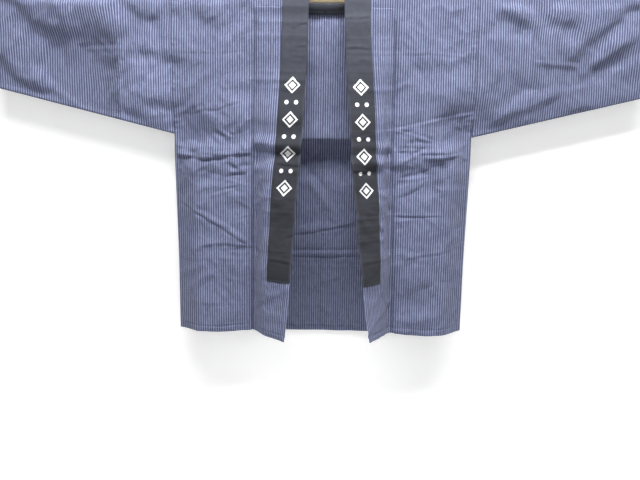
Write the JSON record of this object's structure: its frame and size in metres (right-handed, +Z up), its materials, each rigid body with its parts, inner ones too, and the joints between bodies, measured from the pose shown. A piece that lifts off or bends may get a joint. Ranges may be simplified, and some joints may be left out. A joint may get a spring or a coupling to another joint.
{
  "type": "happi coat on a hanging rod",
  "caption": "Striped cotton happi coat with a black collar band, open at the front, hung on a wooden rod through both sleeves with a wire hook.",
  "frame": {"origin": "the inside of the hook's crown, where a rail or a wall hook carries the hanger", "axes": "+Z up, +X along the rod to the wearer's left, -Y the front of the coat"},
  "size_m": [1.44, 0.1559, 0.8002],
  "materials": {
    "striped_cotton": "navy plain-weave cotton with fine pale broken stripes along the length of the cloth",
    "black_cotton": null,
    "rod_wood": "pale bare wood, lightly polished",
    "hook_steel": "plain bright steel wire"
  },
  "bodies": {
    "root": {"body_right": "striped_cotton", "body_left": "striped_cotton", "okumi_right": "striped_cotton", "okumi_left": "striped_cotton", "sleeve_inset_right": "striped_cotton", "sleeve_inset_left": "striped_cotton", "sleeve_right": "striped_cotton", "sleeve_left": "striped_cotton", "collar": "black_cotton", "hanger_rod": "rod_wood", "hanger_hook": "hook_steel"}
  },
  "joints": []
}
